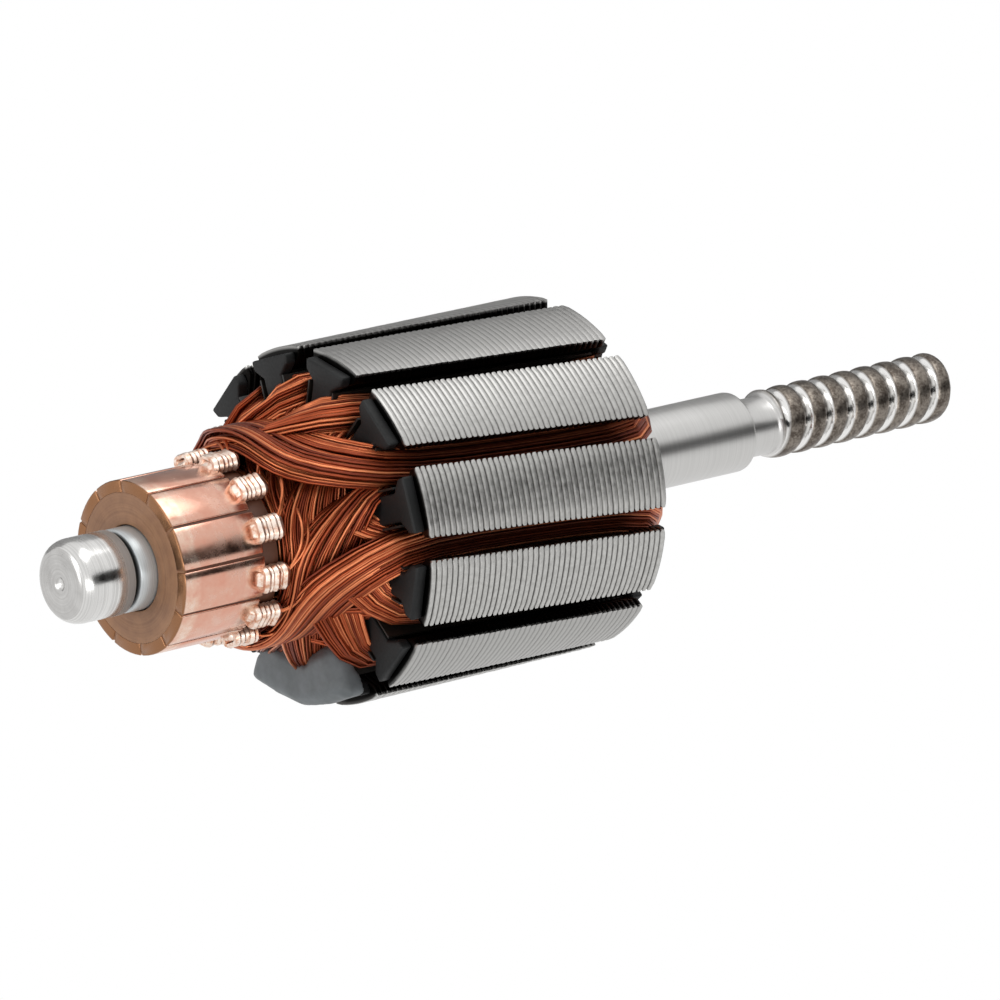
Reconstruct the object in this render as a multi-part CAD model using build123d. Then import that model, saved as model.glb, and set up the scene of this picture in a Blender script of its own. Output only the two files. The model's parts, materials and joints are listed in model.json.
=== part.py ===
from build123d import *
import math
import os

# A twelve-slot commutator motor rotor that lies along X. The origin is the middle of the
# front bearing journal, on the shaft's axis. +X runs towards the worm and +Z is up.
# Angles about the shaft are in degrees from +Z towards -Y. Lengths are in millimetres.

# Shaft, from the nose to the worm's end
journal_radius = 5.0
journal_length = 5.1
nose_length = 2.2
nose_flat_radius = 3.8
nose_dimple_radius = 0.9
nose_dimple_depth = 0.5
relief_width = 0.7
relief_depth = 0.7
collar_length = 2.2
core_seat_step = 0.3
rear_radius = 4.9
rear_shaft_length = 28.5
shoulder_round = 0.35
neck_radius = 3.6
neck_length = 4.5
worm_radius = 4.3
worm_length = 28.8
worm_pitch = 3.4
worm_depth = 0.9
worm_valley_mouth = 1.9
worm_turns = 8
worm_turn_steps = 16
worm_collar_length = 1.3
worm_end_chamfer = 0.9
worm_angle = 66.4

# Lamination stack
core_radius = 21.4
core_length = 35.6
ridge_count = 22
ridge_depth = 0.28
tooth_count = 12
tooth_tip_angle = 22.6
tooth_tip_edge = 1.3
tooth_tip_depth = 3.0
tooth_stem_width = 4.0
yoke_wall = 4.3
first_tooth_angle = 9.8
skew_angle = 7.65
skew_steps = 2

# Moulded end insulators
plate_thickness = 1.6
plate_inset = 0.7
plate_stem_width = 3.4
sleeve_wall = 0.6
rear_sleeve_length = 9.0

# Slot liners
liner_thickness = 0.25
liner_top_gap = 0.4
slot_floor_gap = 0.5
liner_clearance = 0.1

# Winding: six pairs of opposite coils, each pair wound over the one before
coil_span = 5
first_wound_slot = 3
coil_floor_gap = 0.95
coil_layer_gap = 1.1
coil_top_gap = 0.2
bottom_side_share = 0.567
coil_wall_gap = 0.6
winding_space = 11.4
plate_to_coil_gap = 0.15
neck_half_height = 0.72
neck_half_width = 0.32
neck_end_growth = 1.15
band_start_share = 0.85
exit_slot_share = 0.22

# Where the sections of an end turn lie, from the slot's mouth (1) towards its middle (0)
exit_place = 0.93
neck_place = 0.83
neck_end_place = 0.68
band_start_place = 0.48
band_place = 0.24

# Each end's overhang, and for each pair its place in the overhang, how sharply it rises out
# of the slot and draws in to the shaft, and its band's inner and outer height over the sleeve
front_turns = {
    "overhang": 11.0,
    "band": 0.9,
    "place": (0, 0.132, 0.293, 0.488, 0.671, 1),
    "rise": (3.15, 6, 6, 6, 6, 3.5),
    "draw": (6, 3.5, 3.2, 2.5, 1.2, 2.0),
    "inner": (0.4, 0.5, 0.7, 1.0, 1.3, 1.7),
    "outer": (4.3, 4.5, 4.8, 5.3, 5.9, 7.0),
}
rear_turns = {
    "overhang": 6.6,
    "band": 0.6,
    "place": (0, 0.152, 0.371, 0.636, 0.83, 1),
    "rise": (2.25, 6, 6, 6, 6, 5.5),
    "draw": (4.7, 3.5, 2.85, 2.15, 1.2, 1.3),
    "inner": (0.4, 0.4, 0.4, 0.4, 0.4, 0.4),
    "outer": (4.2, 4.3, 4.4, 4.5, 4.7, 4.9),
}

# Commutator
commutator_radius = 10.3
commutator_length = 14.3
bar_count = 12
bar_thickness = 1.4
bar_gap = 0.5
bar_root_width = 2.2
bar_root_depth = 1.6
first_bar_angle = 5.0
hook_width = 2.9
hook_length = 3.3
hook_height = 1.35
hook_chamfer = 0.4
rear_collar_length = 1.3
rear_collar_step = 0.7

# Balancing putty on the front end plate
putty_angle = 174.0
putty_half_angle = 26.0
putty_rim_gap = 1.0
putty_height = 5.8
putty_thickness = 3.2
putty_chamfer = 1.1

# Clearance of parts that are pressed or moulded onto each other
seat_clearance = 0.02

# Stations along the shaft
nose_x = -journal_length / 2 - nose_length
journal_front_x = -journal_length / 2
journal_rear_x = journal_length / 2
collar_x = journal_rear_x + relief_width
commutator_front_x = collar_x + collar_length
commutator_rear_x = commutator_front_x + commutator_length
core_front_x = commutator_rear_x + winding_space + plate_thickness
core_rear_x = core_front_x + core_length
rear_sleeve_end_x = core_rear_x + plate_thickness + rear_sleeve_length
shoulder_x = core_rear_x + rear_shaft_length
worm_x = shoulder_x + neck_length
worm_end_x = worm_x + worm_length

# Radii that seat on each other
core_seat_radius = journal_radius + core_seat_step
core_bore_radius = core_seat_radius + seat_clearance
sleeve_radius = core_bore_radius + sleeve_wall
yoke_radius = core_seat_radius + yoke_wall
tooth_root_radius = core_radius - tooth_tip_depth
slot_floor_radius = yoke_radius + slot_floor_gap

tooth_pitch = 360 / tooth_count
core_stations = [core_front_x + core_length * step / skew_steps for step in range(skew_steps + 1)]
plate_stations = [core_front_x - plate_thickness, *core_stations, core_rear_x + plate_thickness]


def about_shaft(x, radius, angle):
    """The point at a station, a radius and an angle about the shaft."""
    turn = math.radians(angle)
    return Vector(x, -radius * math.sin(turn), radius * math.cos(turn))


def ring(inner, outer, x, length):
    """A plain ring about the shaft from station x."""
    section = Circle(outer) - Circle(inner)
    return extrude(Plane.YZ.offset(x) * section, length)


def turned(outline):
    """A solid turned about the shaft from a closed outline of (station, radius)."""
    section = make_face((Plane.XZ * outline).edges())
    return revolve(section, Axis.X)


def facet(*corners):
    """One flat face between its corners."""
    return Face(Wire.make_polygon(corners))


def joining_facets(section, following):
    """The three-cornered facets that join a section to the next one, split the same way on all walls."""
    faces = []
    for corner, here in enumerate(section):
        after = (corner + 1) % len(section)
        quad = [here, section[after], following[after], following[corner]]
        if off_axis(here) > off_axis(section[after]) + 0.001:
            quad = [*quad[1:], here]
        faces.append(facet(*quad[:3]))
        faces.append(facet(quad[0], *quad[2:]))
    return faces


def off_axis(point):
    """How far a point lies from the shaft's axis."""
    return math.hypot(point.Y, point.Z)


def faceted_run(sections):
    """A solid of flat facets through a run of sections, closed by a face at each end."""
    faces = [facet(*reversed(sections[0])), facet(*sections[-1])]
    for section, following in zip(sections, sections[1:]):
        faces.extend(joining_facets(section, following))
    return Solid(Shell(faces))


def faceted_loop(sections):
    """A ring-shaped solid of flat facets, where the last section joins the first."""
    faces = []
    for index, section in enumerate(sections):
        faces.extend(joining_facets(section, sections[(index + 1) % len(sections)]))
    return Solid(Shell(faces))


def nose_rounding():
    """The quarter ellipse between the journal and the nose's flat."""
    corner_height = journal_radius - nose_flat_radius
    centre = (journal_front_x, nose_flat_radius)
    return EllipticalCenterArc(centre, nose_length, corner_height, start_angle=90, arc_size=90)


def many_sided(x, radius, angle, count):
    """The corners of a many-sided section about the shaft, the first one at an angle."""
    return [about_shaft(x, radius, angle - 360 * corner / count) for corner in range(count)]


def worm_section(x, radius):
    """The worm blank's section, in step with its valley."""
    return many_sided(x, radius, worm_angle, worm_turn_steps)


def worm_valley():
    """The left-hand valley of the worm, a run of sections about the shaft."""
    overrun = 0.3  # above the worm's outside, so that the cut is clean
    low = worm_radius - worm_depth
    high = worm_radius + overrun
    half_mouth = worm_valley_mouth / 2 * (high - low) / worm_depth
    profile = [(0, low), (-half_mouth, high), (half_mouth, high)]
    sections = []
    for step in range(worm_turns * worm_turn_steps + 1):
        turn = step / worm_turn_steps
        middle = worm_x + worm_collar_length + turn * worm_pitch
        angle = worm_angle - 360 * turn
        sections.append([about_shaft(middle + along, radius, angle) for along, radius in profile])
    return faceted_run(sections)


def make_worm():
    """The rolled worm, with a chamfer at both ends."""
    blank = faceted_run([
        worm_section(worm_x, neck_radius),
        worm_section(worm_x + worm_radius - neck_radius, worm_radius),
        worm_section(worm_end_x - worm_end_chamfer, worm_radius),
        worm_section(worm_end_x, worm_radius - worm_end_chamfer),
    ])
    return blank - worm_valley()


def make_shaft():
    """The whole shaft is one piece: nose, journal, seats, neck and worm."""
    relief_radius = journal_radius - relief_depth
    steps = Polyline(
        (nose_x, nose_flat_radius),
        (nose_x, nose_dimple_radius),
        (nose_x + nose_dimple_depth, 0),
        (worm_x, 0),
        (worm_x, neck_radius),
        (shoulder_x, neck_radius),
        (shoulder_x, rear_radius - shoulder_round),
        (shoulder_x - shoulder_round, rear_radius),
        (rear_sleeve_end_x, rear_radius),
        (rear_sleeve_end_x, core_seat_radius),
        (commutator_rear_x, core_seat_radius),
        (commutator_rear_x, journal_radius),
        (collar_x, journal_radius),
        (collar_x, relief_radius),
        (journal_rear_x, relief_radius),
        (journal_rear_x, journal_radius),
        (journal_front_x, journal_radius),
    )
    return turned(steps + nose_rounding()) + make_worm()


def skew_at(x):
    """How far the slots have turned at a station."""
    return skew_angle * (x - core_front_x) / core_length


def skewed_solid(outline, angle, stations):
    """A solid along the shaft whose outline turns with the skew, in flat facets."""
    sections = []
    for x in stations:
        turn = Rot(X=angle + skew_at(x))
        sections.append([(turn * Pos(x, -across, up)).position for across, up in outline])
    return faceted_run(sections)


def mirrored_outline(right):
    """A closed outline from the points of its right half."""
    return [*right, *[(-across, up) for across, up in reversed(right)]]


def tooth_outline(tip_radius, tip_angle, tip_edge, root_radius, stem_width, inner_radius):
    """A tooth's outline across the shaft: a stem with a wide tip."""
    half = math.radians(tip_angle / 2)
    low_tip = tip_radius - tip_edge
    right = [
        (tip_radius * math.sin(half), tip_radius * math.cos(half)),
        (low_tip * math.sin(half), low_tip * math.cos(half)),
        (stem_width / 2, root_radius),
        (stem_width / 2, inner_radius),
    ]
    return mirrored_outline(right)


def ridged_slab(angle):
    """A slab with ridges for the edges of the sheets on its outer face, square to an angle."""
    flat = core_radius * math.cos(math.radians(tooth_pitch / 4))
    valley = flat - ridge_depth
    step = core_length / ridge_count
    edge = [(core_front_x, valley)]
    for index in range(ridge_count):
        edge.append((core_front_x + (index + 0.5) * step, flat))
        edge.append((core_front_x + (index + 1) * step, valley))
    edge.append((core_rear_x, 0))
    edge.append((core_front_x, 0))
    slab = extrude(make_face(Plane.XZ * Polyline(*edge, close=True)), core_radius, both=True)
    return Rot(X=angle) * slab


def make_core():
    """The stack of slotted laminations, each tooth skewed along the shaft."""
    overrun = 1.0
    outline = tooth_outline(
        core_radius + overrun,
        tooth_tip_angle,
        tooth_tip_edge + overrun,
        tooth_root_radius,
        tooth_stem_width,
        yoke_radius - overrun,
    )
    tooth = skewed_solid(outline, 0, core_stations)
    for side in (-1, 1):
        tooth = tooth & ridged_slab(skew_angle / 2 + side * tooth_pitch / 4)
    core = ring(core_bore_radius, yoke_radius, core_front_x, core_length)
    teeth = [Rot(X=first_tooth_angle + index * tooth_pitch) * tooth for index in range(tooth_count)]
    return core.fuse(*teeth)


def end_insulator(x, angle, sleeve_x, sleeve_length):
    """A moulded end plate that covers the teeth, with a sleeve round the shaft."""
    outline = tooth_outline(
        core_radius - plate_inset,
        tooth_tip_angle - 2 * math.degrees(plate_inset / core_radius),
        tooth_tip_edge,
        tooth_root_radius - plate_inset / 2,
        plate_stem_width,
        sleeve_radius,
    )
    face = Plane.YZ.offset(x) * make_face(Polyline(*outline, close=True))
    finger = extrude(face, plate_thickness)
    fingers = [Rot(X=angle + index * tooth_pitch) * finger for index in range(tooth_count)]
    body = ring(core_bore_radius, yoke_radius, x, plate_thickness)
    sleeve = ring(core_bore_radius, sleeve_radius, sleeve_x, sleeve_length)
    return body.fuse(sleeve, *fingers)


def slot_half_width(radius):
    """Half the slot's width at a radius, measured square to the slot's middle."""
    half_pitch = math.radians(tooth_pitch / 2)
    return radius * math.tan(half_pitch) - tooth_stem_width / 2 / math.cos(half_pitch)


def slot_angle(slot, x):
    """The angle of a slot's middle at a station, following the skew."""
    return first_tooth_angle + (slot + 0.5) * tooth_pitch + skew_at(x)


def make_liner(slot):
    """The paper liner of one slot, a bent sheet that runs through both end plates."""
    top = tooth_root_radius - liner_top_gap
    wall = liner_thickness / math.cos(math.radians(tooth_pitch / 2))
    outer_top = slot_half_width(top) - liner_clearance
    outer_floor = slot_half_width(slot_floor_radius) - liner_clearance
    inner_floor = slot_floor_radius + liner_thickness
    inner_half = slot_half_width(inner_floor) - liner_clearance - wall
    right = [
        (inner_half, inner_floor),
        (outer_top - wall, top),
        (outer_top, top),
        (outer_floor, slot_floor_radius),
    ]
    return skewed_solid(mirrored_outline(right), slot_angle(slot, core_front_x), plate_stations)


def coil_side(coil, at_start):
    """The radii between which a coil lies in its first or last slot."""
    pair = coil % (tooth_count // 2)
    last_pair = tooth_count // 2 - 1
    on_top = pair == last_pair if at_start else pair > 0
    low = slot_floor_radius + liner_thickness + coil_floor_gap
    high = tooth_root_radius - coil_top_gap
    split = low + bottom_side_share * (high - low - coil_layer_gap)
    return (split + coil_layer_gap, high) if on_top else (low, split)


def turn_station(coil, turns, face_x, away, share):
    """One section's centre and half sizes; share runs from 1 at the first slot to -1 at the last."""
    pair = coil % (tooth_count // 2)
    out = abs(share)
    low, high = coil_side(coil, share > 0)
    band_width = turns["band"] / 2
    inner = sleeve_radius + turns["inner"][pair]
    outer = sleeve_radius + turns["outer"][pair]
    side_height = (high - low) / 2
    side_width = slot_half_width((low + high) / 2) - coil_wall_gap
    band_height = (outer - inner) / 2
    exit_height = neck_half_height + exit_slot_share * (side_height - neck_half_height)
    exit_width = neck_half_width + exit_slot_share * (side_width - neck_half_width)
    sizes = {
        1: (side_height, slot_half_width(high) - coil_wall_gap, slot_half_width(low) - coil_wall_gap),
        exit_place: (exit_height, exit_width, exit_width),
        neck_place: (neck_half_height, neck_half_width, neck_half_width),
        neck_end_place: (neck_end_growth * neck_half_height, band_width, band_width),
        band_start_place: (band_start_share * band_height, band_width, band_width),
        band_place: (band_height, band_width, band_width),
        0: (band_height, band_width, band_width),
    }
    drawn = out ** turns["draw"][pair]
    radius = (inner + outer) / 2 * (1 - drawn) + (low + high) / 2 * drawn
    reach = band_width + (turns["overhang"] - turns["band"] - plate_to_coil_gap) * turns["place"][pair]
    risen = reach * (1 - out ** turns["rise"][pair])
    lift = max(risen, sizes[out][1]) if out < 1 else 0
    x = face_x + away * (plate_to_coil_gap + lift)
    half_span = coil_span * tooth_pitch / 2
    middle = slot_angle(coil + first_wound_slot, face_x) + half_span
    return about_shaft(x, radius, middle - half_span * share), sizes[out]


def end_turn(coil, turns, face_x, away):
    """The sections of one end turn, in the order in which the wire runs round the coil."""
    half = (1, exit_place, neck_place, neck_end_place, band_start_place, band_place)
    shares = [*half, 0, *[-share for share in reversed(half)]]
    if away > 0:
        shares.reverse()
    stations = [turn_station(coil, turns, face_x, away, share) for share in shares]
    centres = [centre for centre, size in stations]
    sections = []
    for index, (centre, size) in enumerate(stations):
        if index == 0:
            along = Vector(away, 0, 0)
        elif index == len(stations) - 1:
            along = Vector(-away, 0, 0)
        else:
            along = (centres[index + 1] - centres[index - 1]).normalized()
        sections.append(bundle_section(centre, along, *size))
    return sections


def bundle_section(centre, along, half_height, top_width, floor_width):
    """The corners of a bundle's section, square to its run, with its height away from the shaft."""
    outward = Vector(0, centre.Y, centre.Z).normalized()
    outward = (outward - along * outward.dot(along)).normalized()
    across = along.cross(outward)
    corners = [
        (half_height, top_width),
        (half_height, -top_width),
        (-half_height, -floor_width),
        (-half_height, floor_width),
    ]
    return [centre + outward * up + across * side for up, side in corners]


def make_coil(coil):
    """One coil as a closed bundle of wire: two slot sides and the turns at both ends."""
    front = end_turn(coil, front_turns, core_front_x - plate_thickness, -1)
    rear = end_turn(coil, rear_turns, core_rear_x + plate_thickness, 1)
    return faceted_loop([*front, *rear])


def make_commutator_body():
    """The phenolic moulding that carries the bars on its flats, with a rear collar."""
    seat_radius = commutator_radius - bar_thickness
    half_pitch = 180 / bar_count
    corner_radius = seat_radius / math.cos(math.radians(half_pitch))
    ends = [
        many_sided(x, corner_radius, first_bar_angle + half_pitch, bar_count)
        for x in (commutator_front_x, commutator_rear_x - rear_collar_length)
    ]
    collar_radius = commutator_radius - rear_collar_step
    collar = ring(journal_radius, collar_radius, commutator_rear_x - rear_collar_length, rear_collar_length)
    bore = extrude(Plane.YZ.offset(commutator_front_x) * Circle(journal_radius + seat_clearance), commutator_length)
    roots = [bar_root(bar, seat_clearance) for bar in range(bar_count)]
    return faceted_run(ends) + collar - bore - roots


def bar_angle(bar):
    """The angle of a bar's middle."""
    return first_bar_angle + bar * 360 / bar_count


def bar_root(bar, clearance):
    """The dovetail that holds a bar in the moulding."""
    top = commutator_radius - bar_thickness + bar_thickness / 2
    floor = commutator_radius - bar_thickness - bar_root_depth - clearance
    narrow = bar_root_width / 4 + clearance
    wide = bar_root_width / 2 + clearance
    outline = Polyline((-narrow, top), (narrow, top), (wide, floor), (-wide, floor), close=True)
    length = commutator_length - rear_collar_length
    root = extrude(Plane.YZ.offset(commutator_front_x) * make_face(outline), length)
    return Rot(X=bar_angle(bar)) * root


def make_bar(bar):
    """A copper bar with its dovetail root and the hook that grips the coil's leads."""
    length = commutator_length - rear_collar_length
    half_pitch = math.radians(180 / bar_count)
    apex = bar_gap / 2 / math.sin(half_pitch)
    low = commutator_radius - bar_thickness
    high = commutator_radius + bar_thickness
    low_half = (low - apex) * math.tan(half_pitch)
    high_half = (high - apex) * math.tan(half_pitch)
    wedge = Polyline((-low_half, low), (low_half, low), (high_half, high), (-high_half, high), close=True)
    front = Plane.YZ.offset(commutator_front_x)
    shell = extrude(front * make_face(wedge), length) & extrude(front * Circle(commutator_radius), length)
    top = commutator_radius + hook_height
    rear_x = commutator_front_x + length
    fold = Polyline(
        (rear_x - hook_length, commutator_radius - bar_thickness / 2),
        (rear_x - hook_length, top),
        (rear_x, top),
        (rear_x, commutator_radius - bar_thickness / 2),
        close=True,
    )
    profile = chamfer(make_face(Plane.XZ * fold).vertices().sort_by(Axis.Z)[-2:], hook_chamfer)
    hook = extrude(profile, hook_width / 2, both=True)
    piece = shell + hook
    return Rot(X=bar_angle(bar)) * piece + bar_root(bar, 0)


def make_putty(coils):
    """The lump of balancing putty pressed onto the front end plate and round the wires there."""
    front_x = core_front_x - plate_thickness - putty_thickness
    outer = core_radius - putty_rim_gap
    inner = outer - putty_height
    half = math.radians(putty_half_angle)
    outline = [
        (inner * math.sin(half) * share, inner * math.cos(half * share)) for share in (1, 0, -1)
    ]
    outline += [
        (outer * math.sin(half * share), outer * math.cos(half * share)) for share in (-1, -0.5, 0, 0.5, 1)
    ]
    block = extrude(Plane.YZ.offset(front_x) * make_face(Polyline(*outline, close=True)), putty_thickness)
    block = chamfer(block.faces().sort_by(Axis.X)[0].edges(), putty_chamfer)
    return Rot(X=putty_angle) * block - coils


def make_parts():
    """Every piece of the rotor by its node's name."""
    parts = {
        "shaft": make_shaft(),
        "lamination_stack": make_core(),
        "end_insulator_front": end_insulator(
            core_front_x - plate_thickness,
            first_tooth_angle,
            commutator_rear_x,
            winding_space,
        ),
        "end_insulator_rear": end_insulator(
            core_rear_x,
            first_tooth_angle + skew_angle,
            core_rear_x + plate_thickness,
            rear_sleeve_length,
        ),
        "commutator_body": make_commutator_body(),
    }
    coils = [make_coil(coil) for coil in range(tooth_count)]
    parts["balancing_putty"] = make_putty(coils)
    for slot in range(tooth_count):
        parts[f"slot_liner_{slot + 1:02d}"] = make_liner(slot)
        parts[f"coil_{slot + 1:02d}"] = coils[slot]
    for bar in range(bar_count):
        parts[f"commutator_bar_{bar + 1:02d}"] = make_bar(bar)
    return parts


if __name__ == "__main__":
    os.makedirs("parts", exist_ok=True)
    for node, solid in make_parts().items():
        export_step(solid, f"parts/{node}.step")
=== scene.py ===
import json
import math
import random

import bmesh
import bpy
import numpy as np
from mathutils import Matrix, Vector


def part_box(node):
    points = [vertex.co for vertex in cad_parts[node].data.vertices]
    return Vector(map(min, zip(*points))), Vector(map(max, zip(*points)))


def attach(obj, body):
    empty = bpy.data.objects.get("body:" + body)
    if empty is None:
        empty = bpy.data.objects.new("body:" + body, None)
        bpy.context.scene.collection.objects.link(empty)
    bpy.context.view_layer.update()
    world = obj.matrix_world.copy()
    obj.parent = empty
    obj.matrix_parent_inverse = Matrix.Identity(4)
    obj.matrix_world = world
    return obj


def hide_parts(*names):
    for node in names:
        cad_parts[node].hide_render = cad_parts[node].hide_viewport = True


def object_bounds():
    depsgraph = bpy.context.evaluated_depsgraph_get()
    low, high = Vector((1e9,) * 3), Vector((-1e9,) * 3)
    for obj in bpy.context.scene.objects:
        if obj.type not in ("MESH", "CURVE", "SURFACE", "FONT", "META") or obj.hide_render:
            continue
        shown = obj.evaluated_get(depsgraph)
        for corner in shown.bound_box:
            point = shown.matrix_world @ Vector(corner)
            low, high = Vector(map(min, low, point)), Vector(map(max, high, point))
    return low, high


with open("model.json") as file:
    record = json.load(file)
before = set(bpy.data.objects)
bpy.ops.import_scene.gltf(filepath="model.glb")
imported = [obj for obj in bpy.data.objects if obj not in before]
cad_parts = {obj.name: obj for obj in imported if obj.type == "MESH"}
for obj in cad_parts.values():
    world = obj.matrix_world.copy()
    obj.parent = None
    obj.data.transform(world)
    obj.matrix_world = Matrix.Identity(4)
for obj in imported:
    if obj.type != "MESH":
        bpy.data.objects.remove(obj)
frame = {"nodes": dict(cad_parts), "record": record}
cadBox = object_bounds()
mm = 0.001

# Measures that several pieces share, read from the CAD model
coreLow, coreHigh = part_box("lamination_stack")
puttyLow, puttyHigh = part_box("balancing_putty")
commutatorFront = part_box("commutator_body")[0].x
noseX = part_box("shaft")[0].x

rotor = {
    "slots": 12,
    "firstToothDeg": 9.8,  # the tooth that the angles start from, at the commutator end
    "skewDeg": 7.65,
    "coreFrontX": coreLow.x,
    "coreRearX": coreHigh.x,
    "coreRadius": min(coreHigh.z, coreHigh.y, -coreLow.z, -coreLow.y),
    "plateFrontX": puttyHigh.x,  # the putty sits on the front plate
    "plateRearX": coreHigh.x + 1.6 * mm,
}


def linear(hexColour):
    # an sRGB hex value as the linear colour that a socket takes
    value = hexColour.lstrip("#")
    channels = [int(value[i:i + 2], 16) / 255 for i in (0, 2, 4)]
    return [c / 12.92 if c <= 0.04045 else ((c + 0.055) / 1.055) ** 2.4 for c in channels] + [1.0]


def addNode(tree, kind, inputs=None, output=0, **settings):
    # one node with its settings and its inputs, each a value or an earlier node's output
    node = tree.nodes.new("ShaderNode" + kind)
    for key, value in settings.items():
        if key == "stops":
            elements = node.color_ramp.elements
            while len(elements) < len(value):
                elements.new(0.5)
            for element, (place, colour) in zip(elements, value):
                element.position = place
                element.color = linear(colour)
        else:
            setattr(node, key, value)
    for key, value in (inputs or {}).items():
        if isinstance(value, bpy.types.NodeSocket):
            tree.links.new(value, node.inputs[key])
        else:
            node.inputs[key].default_value = value
    return node.outputs[output] if node.outputs else None


def startMaterial(name, hexColour, roughness, metallic=0.0, ior=None):
    # a material with its plain values, which patterns may then replace
    material = bpy.data.materials.new(name)
    material.use_nodes = True
    tree = material.node_tree
    tree.nodes.clear()
    plain = {"Base Color": linear(hexColour), "Roughness": roughness, "Metallic": metallic}
    if ior is not None:
        plain["IOR"] = ior
    surface = addNode(tree, "BsdfPrincipled", plain)
    addNode(tree, "OutputMaterial", {"Surface": surface})
    return material, tree, surface.node.inputs


def finishMaterial(tree, shader, patterns):
    for name, output in patterns.items():
        tree.links.new(output, shader[name])


def shaftPlaces(tree):
    # each spot's raw point, its station along the shaft, its radius, and what turning marks follow
    place = addNode(tree, "TexCoord", output="Object")
    x, y, z = addNode(tree, "SeparateXYZ", {"Vector": place}).node.outputs
    flat = addNode(tree, "CombineXYZ", {"X": 0.0, "Y": y, "Z": z})
    radius = addNode(tree, "VectorMath", {0: flat}, "Value", operation="LENGTH")
    rings = addNode(tree, "CombineXYZ", {"X": x, "Y": radius, "Z": 0.0})
    return place, x, radius, rings


def patches(place, size, detail=3.0):
    # what a noise needs for uneven patches of about a size in mm
    return {"Vector": place, "Scale": 1 / (size * mm), "Detail": detail, "Roughness": 0.6}


def span(value, low, high, toLow=0.0, toHigh=1.0):
    # what carries a value from one span to another
    return {"Value": value, "From Min": low, "From Max": high, "To Min": toLow, "To Max": toHigh}


def relief(height, strength, depth):
    # what gives a pattern a depth in mm
    return {"Strength": strength, "Distance": depth * mm, "Height": height}


groundSteel = {
    "colour": "#dddcda",
    "dark": "#c2c1bf",
    "tip": "#a09e9c",
    "cool": "#d3e0e7",
    "rear": "#c3c2c0",
    "rearShare": 0.7,
    # painted shade: near black in the relief groove beside the collar
    "grime": "#1f1c1a",
    "wormCrest": "#564e47",
    "wormCrestLight": "#8a8279",
    "wormFlank": "#eae9e7",
    # painted shade at the bottom of the worm's valley
    "wormFloorShade": "#6f6b67",
    "roughness": (0.17, 0.3),
    "dullRoughness": 0.7,
    "rearRoughness": 0.33,
    "wormRoughness": (0.16, 0.36),
    "ringSpacing": 0.13,  # mm; the real grinding marks are finer, too fine to show
    "patch": 3.0,
    "soilPatch": 1.3,
    "soilGrit": 0.28,
    "tipEnd": -4.5,  # mm along the shaft, as the next three
    "dulled": (0.3, 1.6),
    "rearStart": 60.0,
    "wormStart": (101.5, 102.1),
    "floorRadius": (3.25, 3.5),
    "crestRadius": (3.9, 4.1),
}


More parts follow.
